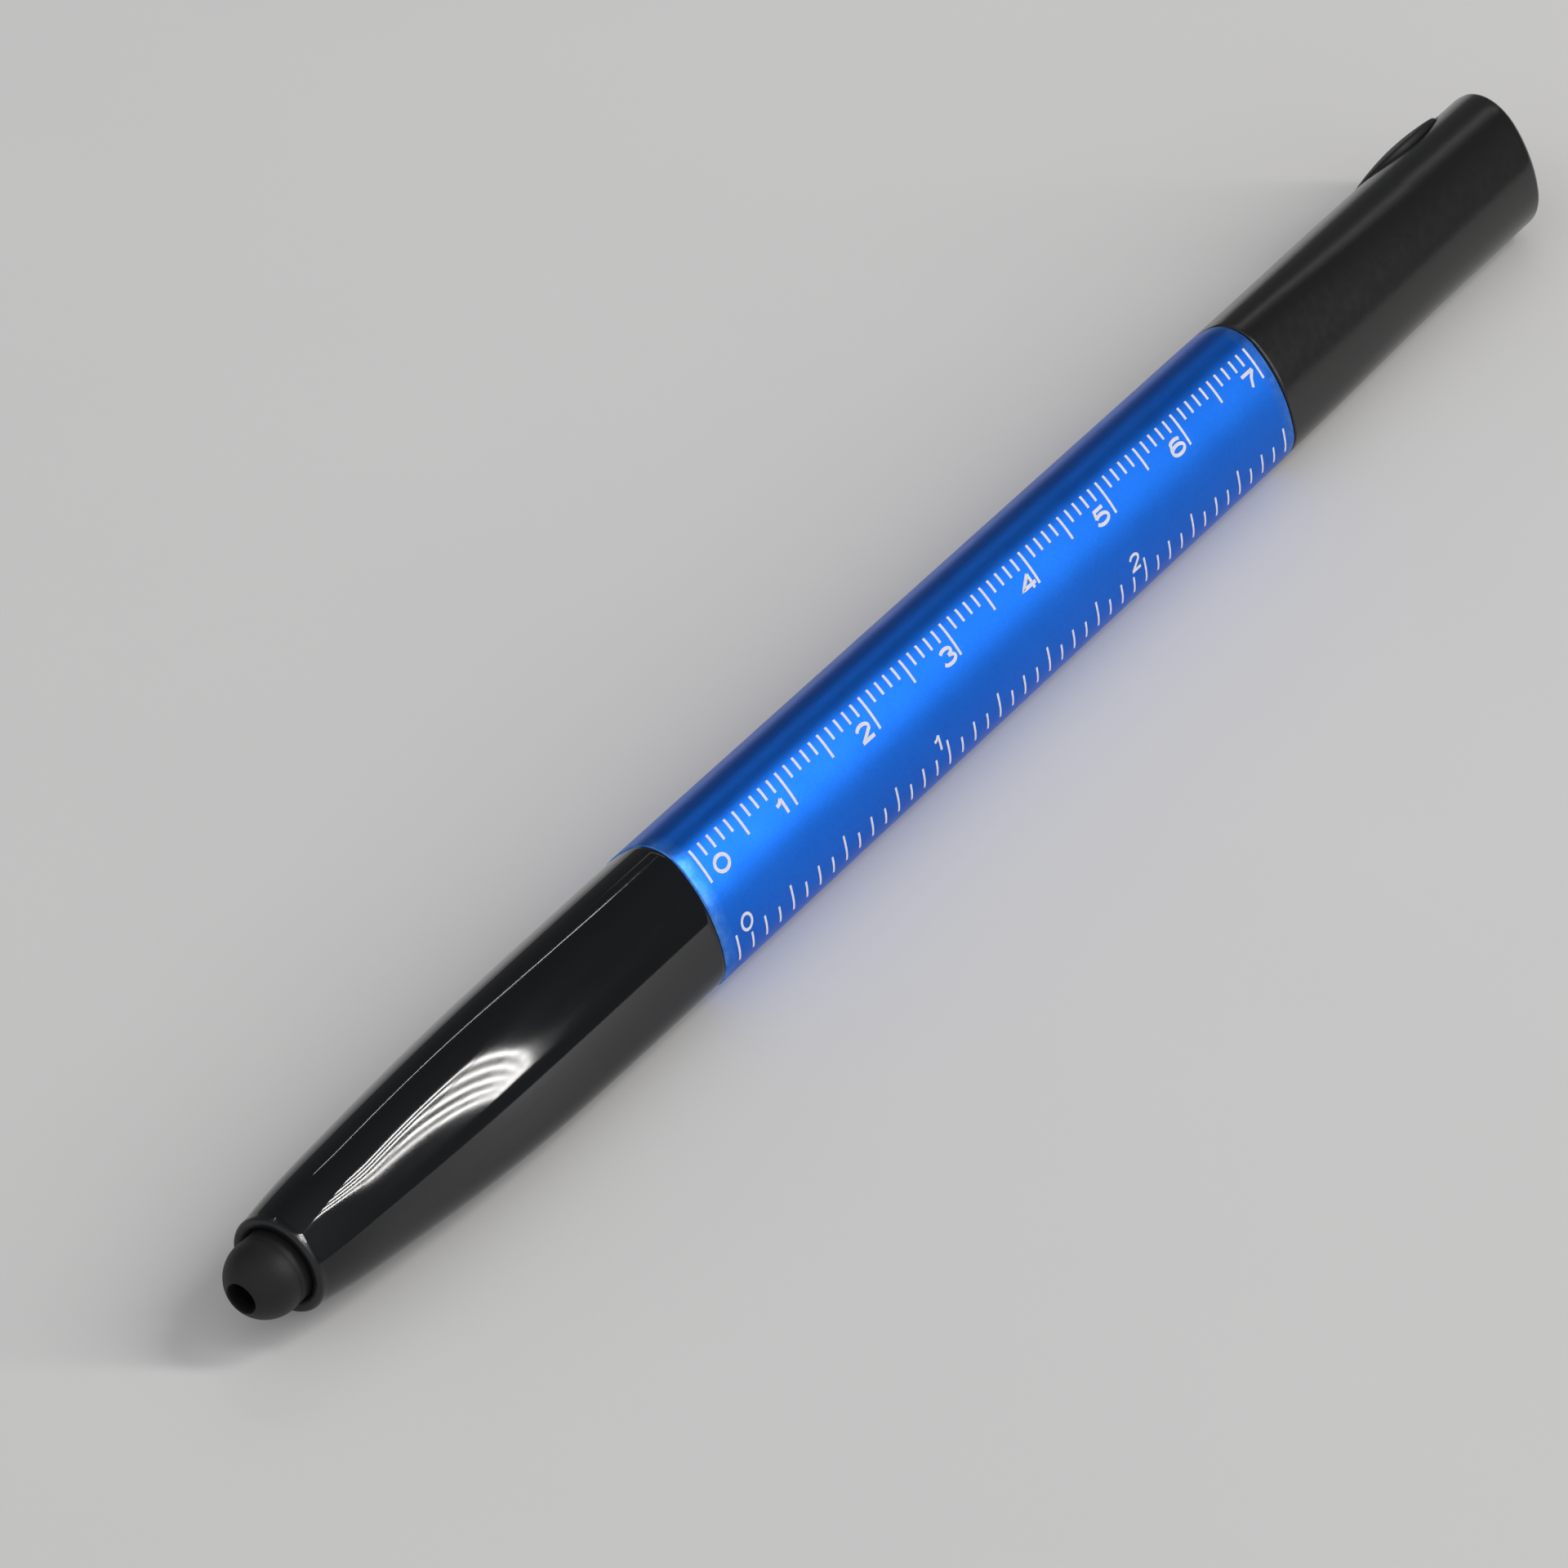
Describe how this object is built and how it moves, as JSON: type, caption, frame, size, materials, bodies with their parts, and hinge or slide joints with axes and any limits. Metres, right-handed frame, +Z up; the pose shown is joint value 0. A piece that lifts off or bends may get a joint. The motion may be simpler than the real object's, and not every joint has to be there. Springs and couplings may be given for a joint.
{
  "type": "counterfeit detector pen",
  "caption": "Three-sided twist pen with ruler-scale barrel, ballpoint that exits through a rubber stylus tip, and ultraviolet lamp for checking banknotes in the tail cap.",
  "frame": {"origin": "centre of the bounding box seen from above, on the table", "axes": "+X from the stylus tip to the tail, +Z up with the pen lying on one flat, printed flat facing -Y and up"},
  "size_m": [0.158, 0.0116, 0.0112],
  "materials": {
    "blue_anodised": "satin anodised",
    "black_gloss": "gloss",
    "black_satin": "satin",
    "black_rubber": "matt",
    "white_acetal": "satin",
    "grey_acetal": "satin",
    "nickel_silver": "polished",
    "tungsten_carbide": "polished",
    "clear_tube": "translucent",
    "blue_ink": "liquid",
    "spring_steel": "bright",
    "stainless": "brushed",
    "nitrile": "matt",
    "insulating_film": "gloss",
    "brass": "bright",
    "board": "satin",
    "uv_resin": "clear tinted",
    "tinned_steel": "bright",
    "black_resin": "matt"
  },
  "bodies": {
    "barrel": {"stylus_dome": "black_rubber", "stylus_core": "brass", "nose_cone": "black_gloss", "front_bush": "grey_acetal", "barrel": "blue_anodised", "return_spring": "spring_steel", "keyed_guide": "white_acetal", "rear_bush": "grey_acetal", "thrust_washer": "white_acetal"},
    "refill": {"refill_tip": "nickel_silver", "writing_ball": "tungsten_carbide", "refill_tube": "clear_tube", "ink_column": "blue_ink", "ink_follower": "white_acetal", "refill_plug": "white_acetal", "plunger": "grey_acetal"},
    "tail": {"twist_cam": "white_acetal", "drag_ring": "nitrile", "drive_hub": "grey_acetal", "tail_cap": "black_satin", "contact_front": "brass", "contact_spring": "spring_steel", "cell_front": "stainless", "cell_middle": "stainless", "cell_rear": "stainless", "cell_sleeve": "insulating_film", "contact_rear": "brass", "board_carrier": "white_acetal", "lamp_board": "board", "switch_body": "black_resin", "resistor": "black_resin", "contact_strap": "brass", "uv_led": "uv_resin", "led_leads": "tinned_steel", "led_collar": "black_satin"},
    "button": {"switch_button": "black_rubber", "switch_plunger": "white_acetal"}
  },
  "joints": [
    {"name": "tail_twist", "type": "hinge", "parent": "barrel", "child": "tail", "pos_m": [0.03876, -0.00016, 0.00515], "axis": [1, 0, 0], "range_deg": [0, 120]},
    {"name": "refill_slide", "type": "slide", "parent": "barrel", "child": "refill", "axis": [-1, 0, 0], "range_m": [0, 0.00451], "deforming": ["return_spring"]},
    {"name": "button_press", "type": "slide", "parent": "tail", "child": "button", "axis": [0, -0.866, -0.5], "range_m": [0, 0.0004], "stiffness_N_per_m": 1500}
  ],
  "couplings": [
    {"joint": "refill_slide", "follows": "tail_twist", "m_per_rad": 0.0021486}
  ]
}
